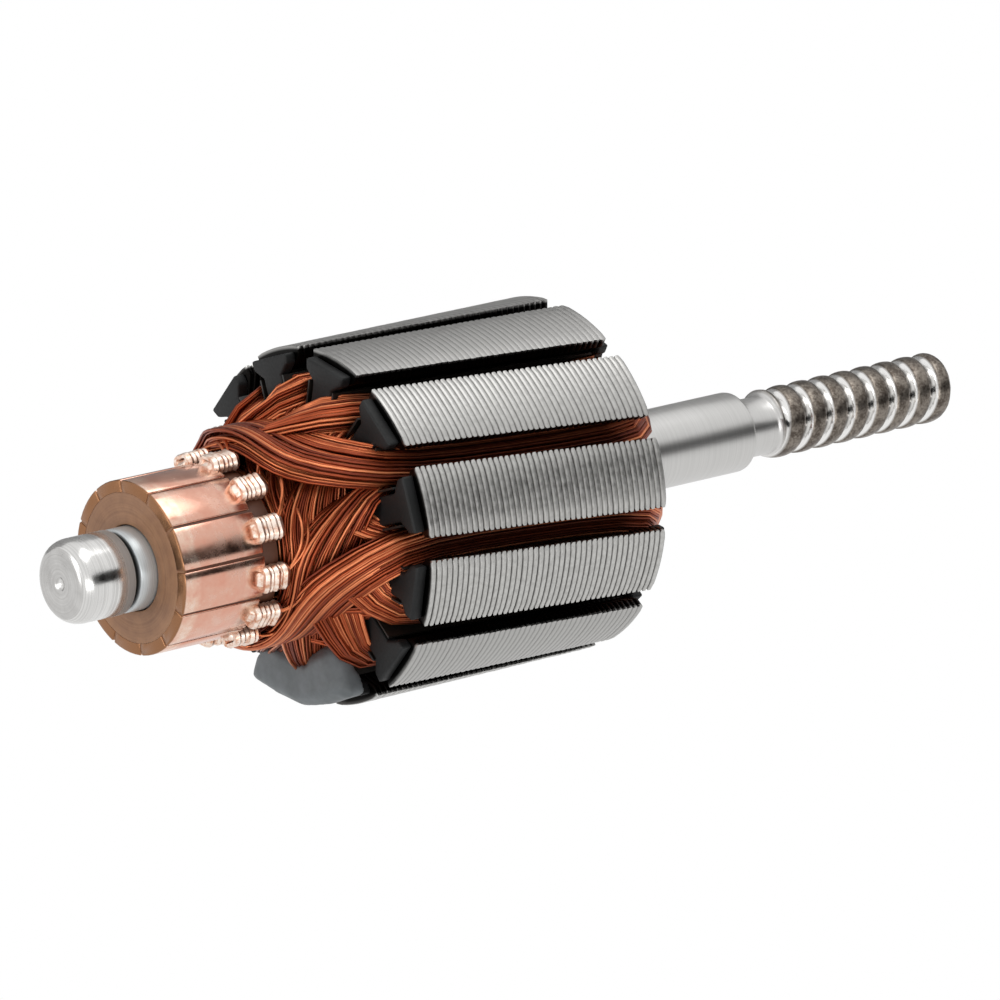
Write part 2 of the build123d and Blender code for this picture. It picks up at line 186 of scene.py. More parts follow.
def makeGroundSteel(values):
    # carbon steel, turned and ground: bright rings round the journals, rolled worm with oily dark crests
    material, tree, shader = startMaterial("ground_carbon_steel", values["colour"], 0.22, 1.0)
    place, x, radius, rings = shaftPlaces(tree)
    marks = addNode(tree, "TexNoise", patches(rings, values["ringSpacing"], 2.0))
    broad = addNode(tree, "TexNoise", patches(place, values["patch"]))
    steel = addNode(tree, "ValToRGB", {0: marks}, stops=[(0.28, values["dark"]), (0.62, values["colour"])])
    atRear = addNode(tree, "Math", {0: x, 1: values["rearStart"] * mm}, operation="GREATER_THAN")
    rearShare = addNode(tree, "Math", {0: atRear, 1: values["rearShare"]}, operation="MULTIPLY")
    steel = addNode(tree, "Mix", {0: rearShare, 6: steel, 7: linear(values["rear"])}, 2, data_type="RGBA")
    atTip = addNode(tree, "Math", {0: x, 1: values["tipEnd"] * mm}, operation="LESS_THAN")
    tipShare = addNode(tree, "Math", {0: atTip, 1: broad}, operation="MULTIPLY")
    steel = addNode(tree, "Mix", {0: tipShare, 6: steel, 7: linear(values["tip"])}, 2, data_type="RGBA")

    # the worm: mottled dark crests, bright flanks and painted shade on the valley floor
    start, full = (edge * mm for edge in values["wormStart"])
    onWorm = addNode(tree, "MapRange", span(x, start, full))
    low, high = (edge * mm for edge in values["crestRadius"])
    onCrest = addNode(tree, "MapRange", span(radius, low, high))
    grit = addNode(tree, "TexNoise", patches(place, values["soilGrit"], 4.0))
    soil = addNode(tree, "TexNoise", patches(place, values["soilPatch"]))
    soil = addNode(tree, "Mix", {0: 0.5, 2: grit, 3: soil}, data_type="FLOAT")
    stops = [(0.42, values["wormCrest"]), (0.58, values["wormCrestLight"])]
    crest = addNode(tree, "ValToRGB", {0: soil}, stops=stops)
    low, high = (edge * mm for edge in values["floorRadius"])
    aboveFloor = addNode(tree, "MapRange", span(radius, low, high))
    # painted shade: darkest at the valley floor, fading out up the flanks
    stops = [(0.0, values["wormFloorShade"]), (1.0, values["wormFlank"])]
    flankWithFloorShade = addNode(tree, "ValToRGB", {0: aboveFloor}, stops=stops)
    worm = addNode(tree, "Mix", {0: onCrest, 6: flankWithFloorShade, 7: crest}, 2, data_type="RGBA")
    steel = addNode(tree, "Mix", {0: onWorm, 6: steel, 7: worm}, 2, data_type="RGBA")
    # painted shade in the relief groove, from a per-point attribute set on the shaft
    grime = addNode(tree, "Attribute", output="Fac", attribute_name="grime")
    steel = addNode(tree, "Mix", {0: grime, 6: steel, 7: linear(values["grime"])}, 2, data_type="RGBA")

    # the journal's rear half and the collar are duller and cooler than the nose
    start, full = (edge * mm for edge in values["dulled"])
    bright = addNode(tree, "MapRange", span(x, start, full, 1.0, 0.5))
    metal = addNode(tree, "Mix", {0: atRear, 2: bright, 3: 1.0}, data_type="FLOAT")
    dullness = addNode(tree, "Math", {0: 1.0, 1: metal}, operation="SUBTRACT")
    cooled = {0: dullness, 6: steel, 7: linear(values["cool"])}
    steel = addNode(tree, "Mix", cooled, 2, data_type="RGBA", blend_type="MULTIPLY")
    finish = addNode(tree, "MapRange", span(broad, 0.3, 0.7, *values["roughness"]))
    finish = addNode(tree, "Mix", {0: atRear, 2: finish, 3: values["rearRoughness"]}, data_type="FLOAT")
    matt = addNode(tree, "Math", {0: dullness, 1: values["dullRoughness"]}, operation="MULTIPLY")
    finish = addNode(tree, "Math", {0: finish, 1: matt}, operation="MAXIMUM")
    oily = addNode(tree, "MapRange", span(onCrest, 0.0, 1.0, *values["wormRoughness"]))
    finish = addNode(tree, "Mix", {0: onWorm, 2: finish, 3: oily}, data_type="FLOAT")
    wormGrit = addNode(tree, "Math", {0: grit, 1: onWorm}, operation="MULTIPLY")
    height = addNode(tree, "Math", {0: marks, 1: wormGrit}, operation="ADD")
    normal = addNode(tree, "Bump", relief(height, 0.25, 0.02))
    patterns = {"Base Color": steel, "Metallic": metal, "Roughness": finish, "Normal": normal}
    finishMaterial(tree, shader, patterns)
    return material


laminationSteel = {
    "colour": "#c6c5c2",
    "shade": "#aeadaa",
    "gap": "#2f2c2a",
    "ground": "#a3a2a0",
    # near black: painted shade on the teeth's sides that face the slots
    "side": "#151413",
    "sheets": 44,
    "roughness": (0.32, 0.46),
    "grain": 0.6,  # mm
    "sideShadeDepth": (0.5, 0.2),  # mm inside the core's outside, where the teeth's sides are painted dark as shade
}


def makeLaminationSteel(values):
    # electrical sheet, punched and stacked: bright sheared edges, darker lines between the sheets
    material, tree, shader = startMaterial("electrical_sheet_steel", values["colour"], 0.38, 1.0)
    place, x, radius, rings = shaftPlaces(tree)
    grain = addNode(tree, "TexNoise", patches(place, values["grain"], 4.0))
    steel = addNode(tree, "ValToRGB", {0: grain}, stops=[(0.3, values["shade"]), (0.6, values["colour"])])
    pitch = (rotor["coreRearX"] - rotor["coreFrontX"]) / values["sheets"]
    fromFront = addNode(tree, "Math", {0: x, 1: rotor["coreFrontX"]}, operation="SUBTRACT")
    inSheets = addNode(tree, "Math", {0: fromFront, 1: pitch}, operation="DIVIDE")
    saw = addNode(tree, "Math", {0: inSheets, 1: 0.5}, operation="PINGPONG")
    inGap = addNode(tree, "MapRange", span(saw, 0.02, 0.22, 0.9, 0.0))
    ground = addNode(tree, "Attribute", output="Fac", attribute_name="groundSmooth")
    ridged = addNode(tree, "Math", {0: 1.0, 1: ground}, operation="SUBTRACT")
    gapShare = addNode(tree, "Math", {0: inGap, 1: ridged}, operation="MULTIPLY")
    steel = addNode(tree, "Mix", {0: ground, 6: steel, 7: linear(values["ground"])}, 2, data_type="RGBA")
    steel = addNode(tree, "Mix", {0: gapShare, 6: steel, 7: linear(values["gap"])}, 2, data_type="RGBA")
    # painted shade: the teeth's sides below the tips turn near black
    inner, outer = (rotor["coreRadius"] - depth * mm for depth in values["sideShadeDepth"])
    sideShadeShare = addNode(tree, "MapRange", span(radius, inner, outer, 1.0, 0.0))
    steel = addNode(tree, "Mix", {0: sideShadeShare, 6: steel, 7: linear(values["side"])}, 2, data_type="RGBA")
    finish = addNode(tree, "MapRange", span(grain, 0.3, 0.7, *values["roughness"]))
    normal = addNode(tree, "Bump", relief(grain, 0.2, 0.03))
    finishMaterial(tree, shader, {"Base Color": steel, "Roughness": finish, "Normal": normal})
    return material


insulator = {"colour": "#0c0d0d", "light": "#151617", "roughness": (0.48, 0.62), "patch": 4.0, "grain": 0.35}


def makeMouldedNylon(values):
    # glass-filled nylon, moulded: nearly black with a soft satin surface
    material, tree, shader = startMaterial("moulded_glass_filled_nylon", values["colour"], 0.55, ior=1.53)
    shader["Specular IOR Level"].default_value = 0.3
    place = addNode(tree, "TexCoord", output="Object")
    cloud = addNode(tree, "TexNoise", patches(place, values["patch"]))
    colour = addNode(tree, "ValToRGB", {0: cloud}, stops=[(0.35, values["colour"]), (0.7, values["light"])])
    grain = addNode(tree, "TexNoise", patches(place, values["grain"]))
    finish = addNode(tree, "MapRange", span(grain, 0.3, 0.7, *values["roughness"]))
    normal = addNode(tree, "Bump", relief(grain, 0.25, 0.02))
    finishMaterial(tree, shader, {"Base Color": colour, "Roughness": finish, "Normal": normal})
    return material


liner = {"colour": "#0f0d0b", "light": "#1d1813", "patch": 1.2}


def makeVarnishedPaper(values):
    # slot paper soaked in varnish: nearly black, slightly glossy
    material, tree, shader = startMaterial("varnished_slot_paper", values["colour"], 0.45, ior=1.5)
    place = addNode(tree, "TexCoord", output="Object")
    cloud = addNode(tree, "TexNoise", patches(place, values["patch"]))
    colour = addNode(tree, "ValToRGB", {0: cloud}, stops=[(0.35, values["colour"]), (0.75, values["light"])])
    normal = addNode(tree, "Bump", relief(cloud, 0.2, 0.05))
    finishMaterial(tree, shader, {"Base Color": colour, "Normal": normal})
    return material


copperWire = {"dark": "#6e2a14", "middle": "#a84d28", "light": "#dd8658", "shadow": "#1c0c08", "patch": 1.5}


def makeEnamelledWire(values):
    # copper wire under clear amber enamel: each strand a slightly different orange brown
    material, tree, shader = startMaterial("enamelled_copper_wire", values["middle"], 0.36, 0.8)
    shader["Coat Weight"].default_value = 0.12
    shader["Coat Roughness"].default_value = 0.2
    shade = addNode(tree, "Attribute", output="Fac", attribute_name="strandShade")
    slotShade = addNode(tree, "Attribute", output="Fac", attribute_name="strandSunk")
    place = addNode(tree, "TexCoord", output="Object")
    cloud = addNode(tree, "TexNoise", patches(place, values["patch"]))
    tone = addNode(tree, "Mix", {0: 0.3, 2: shade, 3: cloud}, data_type="FLOAT")
    stops = [(0.15, values["dark"]), (0.5, values["middle"]), (0.85, values["light"])]
    enamel = addNode(tree, "ValToRGB", {0: tone}, stops=stops)
    # painted shade on the strands inside the slots
    enamel = addNode(tree, "Mix", {0: slotShade, 6: enamel, 7: linear(values["shadow"])}, 2, data_type="RGBA")
    finishMaterial(tree, shader, {"Base Color": enamel})
    return material


commutator = {
    "fresh": "#e3bda9",
    "track": "#d79b86",
    "pale": "#efdccd",
    "face": "#946a4c",
    "roughness": (0.17, 0.32),
    "ringSpacing": 0.12,  # mm; the real turning marks are finer, too fine to show
    "patch": 2.4,
    "trackFrom": (2.0, 2.5),  # mm from the front edge, as the next two
    "trackTo": (8.6, 9.1),
    "faceDepth": (0.1, 0.25),
}


def makeCommutatorCopper(values):
    # hard-drawn copper, turned, then polished by the brushes along a pink track
    material, tree, shader = startMaterial("turned_commutator_copper", values["fresh"], 0.3, 1.0)
    place, x, radius, rings = shaftPlaces(tree)
    marks = addNode(tree, "TexNoise", patches(rings, values["ringSpacing"], 3.0))
    cloud = addNode(tree, "TexNoise", patches(place, values["patch"], 4.0))
    stops = [(0.3, values["track"]), (0.52, values["fresh"]), (0.72, values["pale"])]
    copper = addNode(tree, "ValToRGB", {0: cloud}, stops=stops)
    start, full = (commutatorFront + edge * mm for edge in values["trackFrom"])
    into = addNode(tree, "MapRange", span(x, start, full))
    start, full = (commutatorFront + edge * mm for edge in values["trackTo"])
    out = addNode(tree, "MapRange", span(x, start, full, 0.6, 0.0))
    onTrack = addNode(tree, "Math", {0: into, 1: out}, operation="MULTIPLY")
    copper = addNode(tree, "Mix", {0: onTrack, 6: copper, 7: linear(values["track"])}, 2, data_type="RGBA")
    start, full = (commutatorFront + edge * mm for edge in values["faceDepth"])
    atFace = addNode(tree, "MapRange", span(x, start, full, 1.0, 0.0))
    copper = addNode(tree, "Mix", {0: atFace, 6: copper, 7: linear(values["face"])}, 2, data_type="RGBA")
    finish = addNode(tree, "MapRange", span(cloud, 0.3, 0.7, *values["roughness"]))
    normal = addNode(tree, "Bump", relief(marks, 0.2, 0.015))
    finishMaterial(tree, shader, {"Base Color": copper, "Roughness": finish, "Normal": normal})
    return material


fusedHook = {"colour": "#f7e6d9", "dark": "#d39c7c", "patch": 0.7}


def makeFusedCopper(values):
    # hooks pressed hot over the wires: pale, burnt clean on top and browned in patches
    material, tree, shader = startMaterial("hot_pressed_copper", values["colour"], 0.38, 1.0)
    place = addNode(tree, "TexCoord", output="Object")
    patch = addNode(tree, "TexNoise", patches(place, values["patch"], 4.0))
    colour = addNode(tree, "ValToRGB", {0: patch}, stops=[(0.32, values["dark"]), (0.55, values["colour"])])
    normal = addNode(tree, "Bump", relief(patch, 0.4, 0.06))
    finishMaterial(tree, shader, {"Base Color": colour, "Normal": normal})
    return material


phenolic = {
    "colour": "#9c7150",
    "dark": "#845c40",
    "slit": "#5d3826",
    "ringSpacing": 0.25,  # mm
    "patch": 2.0,
    "slitDepth": (0.3, 0.6),  # mm behind the face, where the ribs between the bars turn dark
}


def makePhenolic(values):
    # phenolic moulding, faced on a lathe: dull brown with fine rings, darker between the bars
    material, tree, shader = startMaterial("faced_phenolic", values["colour"], 0.5, ior=1.55)
    place, x, radius, rings = shaftPlaces(tree)
    marks = addNode(tree, "TexNoise", patches(rings, values["ringSpacing"], 2.0))
    cloud = addNode(tree, "TexNoise", patches(place, values["patch"], 4.0))
    tone = addNode(tree, "Mix", {0: 0.6, 2: marks, 3: cloud}, data_type="FLOAT")
    brown = addNode(tree, "ValToRGB", {0: tone}, stops=[(0.35, values["dark"]), (0.6, values["colour"])])
    start, full = (commutatorFront + edge * mm for edge in values["slitDepth"])
    inSlits = addNode(tree, "MapRange", span(x, start, full))
    brown = addNode(tree, "Mix", {0: inSlits, 6: brown, 7: linear(values["slit"])}, 2, data_type="RGBA")
    normal = addNode(tree, "Bump", relief(marks, 0.3, 0.02))
    finishMaterial(tree, shader, {"Base Color": brown, "Normal": normal})
    return material


putty = {
    "colour": "#5b6062",
    "light": "#6d7275",
    "patch": 2.5,
    "grain": 0.8,
    "voxel": 0.3,  # mm
    "swell": 0.35,
    "wave": 0.12,
    "thumbs": (1.7, 2.3),  # mm across the waves that smoothing by hand leaves
}


def makePutty(values):
    # two-part balancing putty, smoothed by hand: even blue grey, barely glossy
    material, tree, shader = startMaterial("balancing_putty_grey", values["colour"], 0.5, ior=1.5)
    place = addNode(tree, "TexCoord", output="Object")
    cloud = addNode(tree, "TexNoise", patches(place, values["patch"]))
    colour = addNode(tree, "ValToRGB", {0: cloud}, stops=[(0.35, values["colour"]), (0.7, values["light"])])
    grain = addNode(tree, "TexNoise", patches(place, values["grain"]))
    normal = addNode(tree, "Bump", relief(grain, 0.2, 0.05))
    finishMaterial(tree, shader, {"Base Color": colour, "Normal": normal})
    return material


materials = {
    "ground_steel": makeGroundSteel(groundSteel),
    "lamination_steel": makeLaminationSteel(laminationSteel),
    "moulded_plastic": makeMouldedNylon(insulator),
    "slot_liner": makeVarnishedPaper(liner),
    "enamelled_wire": makeEnamelledWire(copperWire),
    "commutator_copper": makeCommutatorCopper(commutator),
    "phenolic": makePhenolic(phenolic),
    "putty": makePutty(putty),
}
hookCopper = makeFusedCopper(fusedHook)
print("materials made:", len(materials) + 1)

slotOfNode = {part["node"]: part["material_slot"] for part in frame["record"]["subparts"]}
for node, piece in frame["nodes"].items():
    piece.data.materials.clear()
    piece.data.materials.append(materials[slotOfNode[node]])
print("CAD nodes finished:", len(slotOfNode))


def between(pair, share):
    return pair[0] + (pair[1] - pair[0]) * share


def smoothStep(low, high, value):
    share = min(1.0, max(0.0, (value - low) / (high - low)))
    return share * share * (3 - 2 * share)


def shaftPoint(x, radius, angle):
    # angle in degrees about the shaft, from +Z towards -Y
    turn = math.radians(angle)
    return (x, -radius * math.sin(turn), radius * math.cos(turn))


def makePiece(name, verts, faces, slotName, material=None, perPoint=None, creaseDeg=40):
    # a piece of the rotor from its points and faces, smooth but for its sharp edges
    mesh = bpy.data.meshes.new(name)
    mesh.from_pydata([tuple(v) for v in verts], [], faces)
    for label, values in (perPoint or {}).items():
        attribute = mesh.attributes.new(label, "FLOAT", "POINT")
        attribute.data.foreach_set("value", values)
    mesh.polygons.foreach_set("use_smooth", [True] * len(mesh.polygons))
    mesh.set_sharp_from_angle(angle=math.radians(creaseDeg))
    mesh.materials.append(material or materials[slotName])
    mesh.update()
    piece = bpy.data.objects.new(name, mesh)
    bpy.context.scene.collection.objects.link(piece)
    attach(piece, "root")
    return piece


def bridge(loops, ends="capped", start=0):
    # the faces between loops of equally many points, whose ends are capped, open or joined
    rows, count = len(loops), len(loops[0])
    verts = [point for loop in loops for point in loop]
    faces = []
    for row in range(rows if ends == "joined" else rows - 1):
        here = start + row * count
        there = start + (row + 1) % rows * count
        for side in range(count):
            beside = (side + 1) % count
            faces.append((here + side, here + beside, there + beside, there + side))
    if ends == "capped":
        faces.append([start + side for side in range(count)][::-1])
        faces.append([start + (rows - 1) * count + side for side in range(count)])
    return verts, faces


sheets = {
    "count": laminationSteel["sheets"],
    "tipDeg": 22.6,
    "tipEdge": 1.3,  # mm, the lip at each side of a tooth's tip
    "rootRadius": 18.4,
    "stemHalf": 2.0,
    "yokeRadius": 9.6,
    "boreRadius": 5.32,
    "groove": 0.11,  # how deep the line between two sheets is
    "steps": ((0.0, 1.0), (0.25, 0.0), (0.75, 0.0), (1.0, 1.0)),  # share of a sheet, depth of the line
    "cornerDrop": 0.1,
    "cornerCut": 3.4,  # how many times deeper the lines are at the tips' corners, so that they look toothed
    "groundTeeth": {0: 0.85, 11: 0.7, 1: 0.3, 4: 0.55},  # teeth that were ground smoother than the rest
    "groundLoss": 0.8,
    "jitter": 0.04,
    "turnJitterDeg": 0.1,
    "tipPoints": 9,
    "seed": 5,
}


def toothLine(values, radius):
    # half a slot to half a slot, across one tooth: each point with the way that faces out of the steel
    half = math.radians(values["tipDeg"] / 2)
    low = radius - values["tipEdge"] * mm
    stem = values["stemHalf"] * mm
    yoke = values["yokeRadius"] * mm
    deep = values["cornerCut"]
    side = [
        ((stem, math.sqrt(yoke ** 2 - stem ** 2)), (1, 0)),
        ((stem, values["rootRadius"] * mm), (1, 0)),
        ((low * math.sin(half), low * math.cos(half)), (deep * math.cos(half), -deep * math.sin(half))),
    ]
    line = [((-a, u), (-na, nu)) for (a, u), (na, nu) in side]
    for index in range(values["tipPoints"]):
        turn = half * (2 * index / (values["tipPoints"] - 1) - 1)
        atEnd = index in (0, values["tipPoints"] - 1)
        reach = radius - values["cornerDrop"] * mm if atEnd else radius
        aside = math.copysign(deep, turn) if atEnd else 0.0
        outward = (math.sin(turn) + aside * math.cos(turn), math.cos(turn) - aside * math.sin(turn))
        line.append(((reach * math.sin(turn), reach * math.cos(turn)), outward))
    line += side[::-1]
    midSlot = math.pi / rotor["slots"]
    line.append(((yoke * math.sin(midSlot), yoke * math.cos(midSlot)), (0, 1)))
    return line


def makeSheets(values):
    # the stack as its separate sheets, each a hair out of line, in one closed skin
    chance = random.Random(values["seed"])
    length = rotor["coreRearX"] - rotor["coreFrontX"]
    loops = []
    groundShares = []
    for sheet in range(values["count"]):
        turn = rotor["firstToothDeg"] + rotor["skewDeg"] * (sheet + 0.5) / values["count"]
        offsets = [(chance.uniform(-1, 0), chance.uniform(-1, 1)) for _ in range(rotor["slots"])]
        for share, depth in values["steps"]:
            x = rotor["coreFrontX"] + length * (sheet + share) / values["count"]
            loop = []
            for tooth in range(rotor["slots"]):
                ground = values["groundTeeth"].get(tooth, 0.0)
                loose = 1 - values["groundLoss"] * ground
                groove = values["groove"] * loose
                up, aside = offsets[tooth]
                radius = rotor["coreRadius"] + up * values["jitter"] * loose * mm
                angle = turn + tooth * 360 / rotor["slots"] + aside * values["turnJitterDeg"]
                for (across, height), (outA, outU) in toothLine(values, radius):
                    across -= outA * groove * depth * mm
                    height -= outU * groove * depth * mm
                    spot = math.radians(angle) + math.atan2(across, height)
                    reach = math.hypot(across, height)
                    loop.append((x, -reach * math.sin(spot), reach * math.cos(spot)))
                    groundShares.append(ground)
            loops.append(loop)
    verts, faces = bridge(loops, ends="open")
    perTooth = len(loops[0]) // rotor["slots"]
    for row, x, flip in ((0, rotor["coreFrontX"], True), (len(loops) - 1, rotor["coreRearX"], False)):
        # the end face: a face for each tooth and a strip of yoke round the bore
        start = row * len(loops[0])
        turn = rotor["firstToothDeg"] + (0 if flip else rotor["skewDeg"])
        bore = len(verts)
        for tooth in range(rotor["slots"]):
            for share in (-0.35, 0.0, 0.5):
                angle = turn + (tooth + share) * 360 / rotor["slots"]
                verts.append(shaftPoint(x, values["boreRadius"] * mm, angle))
        ends = []
        for tooth in range(rotor["slots"]):
            first = start + tooth * perTooth
            before = start + ((tooth - 1) % rotor["slots"]) * perTooth + perTooth - 1
            ends.append([first + k for k in range(perTooth - 1)])
            b = bore + tooth * 3
            last = bore + ((tooth - 1) % rotor["slots"]) * 3 + 2
            ends.append([last, before, first, b])
            ends.append([b, first, first + perTooth - 2, b + 1])
            ends.append([b + 1, first + perTooth - 2, first + perTooth - 1, b + 2])
        faces += [face[::-1] if flip else face for face in ends]
    groundShares += [0.0] * (len(verts) - len(groundShares))
    shares = {"groundSmooth": groundShares}
    piece = makePiece("laminations", verts, faces, "lamination_steel", perPoint=shares, creaseDeg=50)
    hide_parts("lamination_stack")


makeSheets(sheets)
print("laminations stacked:", sheets["count"])

turnedShaft = {
    "sides": 72,
    "journal": 5.0,
    "nose": 3.5,  # the flat at its tip
    "noseDepth": 2.2,
    "relief": 4.3,
    "reliefX": (2.55, 3.22),
    "seat": 5.3,
    "rear": 4.9,
    "neck": 3.6,
    "wormStart": 101.35,  # mm along the shaft
    "wormEnd": 130.15,
    "wormRadius": 4.3,
    "wormPitch": 3.4,
    "wormDepth": 0.85,
    "wormRise": 0.5,
    "wormDome": 1.7,
    "wormCollar": 1.3,
    "wormDeg": 66.4,
    "crestFall": 0.4,  # how far the crests round off towards the valley
    "valleyHalf": 0.85,
    "valleyStart": (-0.05, 0.15),  # in turns
    "step": 0.2,
}


def shaftProfile(values):
    # station and radius from the nose's dimple to the neck, with every edge broken
    tip = noseX / mm
    nose, journal, rear, neck = values["nose"], values["journal"], values["rear"], values["neck"]
    line = [(tip + 0.45, 0.02), (tip + 0.4, 0.35), (tip + 0.12, 0.8), (tip, 1.0), (tip, 1.8)]
    line += [(tip + 0.06, 1.95), (tip + 0.06, 2.1), (tip, 2.25), (tip, nose)]
    for index in range(1, 13):
        turn = math.radians(90 * index / 12)
        x = tip + values["noseDepth"] * (1 - math.cos(turn))
        line.append((x, nose + (journal - nose) * math.sin(turn)))
    line += [(0, journal), (2.45, journal), (2.55, journal - 0.12), (2.56, values["relief"])]
    line += [(3.2, values["relief"]), (3.25, journal - 0.2), (3.4, journal - 0.06), (5.45, journal - 0.06)]
    line += [(12.0, journal - 0.06), (19.75, journal), (19.8, values["seat"]), (78.9, values["seat"])]
    line += [(78.95, rear), (88.0, rear), (96.3, rear), (96.6, rear - 0.06), (96.8, rear - 0.25)]
    line += [(96.85, rear - 0.5), (96.9, neck + 0.1), (97.1, neck), (99.5, neck)]
    return line + [(values["wormStart"] - 0.15, neck), (values["wormStart"], neck + 0.05)]


def wormRadius(values, x, angle):
    # the worm's outside, with a domed end, less its left-hand valley
    atStart = x - values["wormStart"]
    atEnd = 1 - min(1.0, (values["wormEnd"] - x) / values["wormDome"])
    outside = values["wormRadius"]
    outside -= (values["wormRadius"] - values["neck"]) * (1 - smoothStep(0, values["wormRise"], atStart))
    outside -= values["wormDome"] * (1 - math.sqrt(max(0.0, 1 - atEnd ** 2)))
    place = (atStart - values["wormCollar"]) / values["wormPitch"]
    turnShare = (values["wormDeg"] - angle) / 360
    turns = round(place - turnShare) + turnShare
    off = abs(place - turns) * values["wormPitch"]
    outside -= values["crestFall"] * (1 - min(1.0, off / (values["wormPitch"] / 2))) ** 2
    if off >= values["valleyHalf"]:
        return outside
    cut = values["wormDepth"] * (0.5 + 0.5 * math.cos(math.pi * off / values["valleyHalf"]))
    return outside - cut * smoothStep(*values["valleyStart"], turns)


def makeShaft(values):
    angles = [360 * side / values["sides"] for side in range(values["sides"])]
    loops = []
    for x, radius in shaftProfile(values):
        loops.append([shaftPoint(x * mm, radius * mm, angle) for angle in angles])
    rows = round((values["wormEnd"] - values["wormStart"]) / values["step"])
    for row in range(1, rows + 1):
        x = values["wormStart"] + (values["wormEnd"] - values["wormStart"]) * row / rows
        loops.append([shaftPoint(x * mm, wormRadius(values, x, angle) * mm, angle) for angle in angles])
    verts, faces = bridge(loops)
    first, last = values["reliefX"]
    # the points in the relief groove take the painted shade
    grime = {"grime": [1.0 if first <= x / mm <= last else 0.0 for x, y, z in verts]}
    piece = makePiece("turnedShaft", verts, faces, "ground_steel", perPoint=grime, creaseDeg=55)
    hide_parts("shaft")


makeShaft(turnedShaft)
print("shaft turned and worm rolled")

bars = {
    "count": 12,
    "firstDeg": 5.0,
    "radius": 10.3,
    "seat": 8.9,
    "gap": 0.3,
    "length": 11.5,
    "lengthJitter": 0.25,
    "round": 0.12,
    "hookWidth": 1.9,
    "hookFrom": 15.9,  # mm along the shaft
    "hookTo": 19.9,
    "hookRadii": (10.1, 11.0),
    "hookRound": 0.3,
    "hookTurnDeg": 1.5,
    "hookLean": 0.3,
    "ribs": 5,
    "ribFrom": 0.75,
    "ribWire": 1.12,
    "ribFlatness": 0.75,
    "ribRound": 0.55,
    "ribPitch": 0.66,
    "wireSides": 6,
    "seed": 3,
    "hookSeed": 43,
}


def barLoop(values, inset):
    # a bar's outline across the shaft: its two sides, rounded corners and its turned top
    top = values["radius"] - inset
    halfDeg = 180 / values["count"] - math.degrees((values["gap"] / 2 + inset) / values["radius"])
    soft = math.degrees(values["round"] / values["radius"])
    loop = [(values["seat"], -halfDeg), (top - values["round"], -halfDeg)]
    loop += [(top - 0.04, -halfDeg + soft * 0.4)]
    loop += [(top, (halfDeg - soft) * share) for share in (-1, -0.6, -0.2, 0.2, 0.6, 1)]
    loop += [(top - 0.04, halfDeg - soft * 0.4), (top - values["round"], halfDeg)]
    return loop + [(values["seat"], halfDeg * share) for share in (1, 0.6, 0.2, -0.2, -0.6)]


def makeBar(values, bar):
    chance = random.Random(values["seed"] + bar)
    middle = values["firstDeg"] + bar * 360 / values["count"]
    front = commutatorFront / mm
    rear = front + values["length"] + chance.uniform(-values["lengthJitter"], values["lengthJitter"])
    steps = ((front, 0.12), (front + 0.05, 0.04), (front + 0.16, 0.0))
    steps += ((rear - 0.16, 0.0), (rear - 0.04, 0.05), (rear, 0.16))
    loops = []
    for x, inset in steps:
        outline = barLoop(values, inset)
        loops.append([shaftPoint(x * mm, radius * mm, middle + angle) for radius, angle in outline])
    verts, faces = bridge(loops)
    piece = makePiece(f"bar_{bar + 1:02d}", verts, faces, "commutator_copper")
    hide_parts(f"commutator_bar_{bar + 1:02d}")


def roundedBox(width, low, high, soft):
    # a rounded rectangle across the shaft, as points of (sideways, radius)
    points = []
    for cornerX, cornerY, start in ((1, 1, 0), (-1, 1, 90), (-1, -1, 180), (1, -1, 270)):
        for step in (0, 45, 90):
            turn = math.radians(start + step)
            across = cornerX * (width / 2 - soft) + soft * math.cos(turn)
            radius = (high - soft if cornerY > 0 else low + soft) + soft * math.sin(turn)
            points.append((across, radius))
    return points


def makeHook(values, bar):
    # the bar's tang, pressed down over turns of wire that are closed rings about it
    chance = random.Random(values["hookSeed"] + bar)
    middle = values["firstDeg"] + bar * 360 / values["count"]
    middle += chance.uniform(-values["hookTurnDeg"], values["hookTurnDeg"])
    low, high = values["hookRadii"]
    lean = chance.uniform(-values["hookLean"], values["hookLean"])
    start, stop = values["hookFrom"], values["hookTo"]

    def leaning(x, across, radius, centreX):
        share = (centreX - start) / (stop - start)
        return shaftPoint(x * mm, radius * mm, middle + math.degrees((across + lean * share) / radius))

    tang = []
    steps = ((start, 0.6, 0.3), (start + 0.5, 0.1, 0.0), (stop - 0.3, 0.0, 0.0), (stop, 0.1, 0.3))
    for x, drop, narrow in steps:
        outline = roundedBox(values["hookWidth"] - narrow, low - drop, high - drop, values["hookRound"])
        tang.append([leaning(x, across, radius, x) for across, radius in outline[::-1]])
    verts, faces = bridge(tang)
    wire = values["ribWire"] / 2
    middleRadius = (low + high) / 2
    halfWidth, halfHeight = values["hookWidth"] / 2 + 0.3, (high - low) / 2 + 0.3
    for rib in range(values["ribs"]):
        x = start + values["ribFrom"] + rib * values["ribPitch"] + chance.uniform(-0.06, 0.06)
        grow = chance.uniform(-0.08, 0.12)
        path = roundedBox(values["hookWidth"] + 0.5 + grow, low - 0.15, high + 0.3 + grow, values["ribRound"])
        rings = []
        for across, radius in path:
            outA, outR = across / halfWidth, (radius - middleRadius) / halfHeight
            size = math.hypot(outA, outR)
            ring = []
            for side in range(values["wireSides"]):
                turn = 2 * math.pi * side / values["wireSides"]
                out = wire * values["ribFlatness"] * math.cos(turn) / size
                ring.append(leaning(x + wire * math.sin(turn), across + out * outA, radius + out * outR, x))
            rings.append(ring)
        points, sides = bridge(rings, ends="joined", start=len(verts))
        verts += points
        faces += sides
    makePiece(f"hook_{bar + 1:02d}", verts, faces, "commutator_copper", hookCopper)


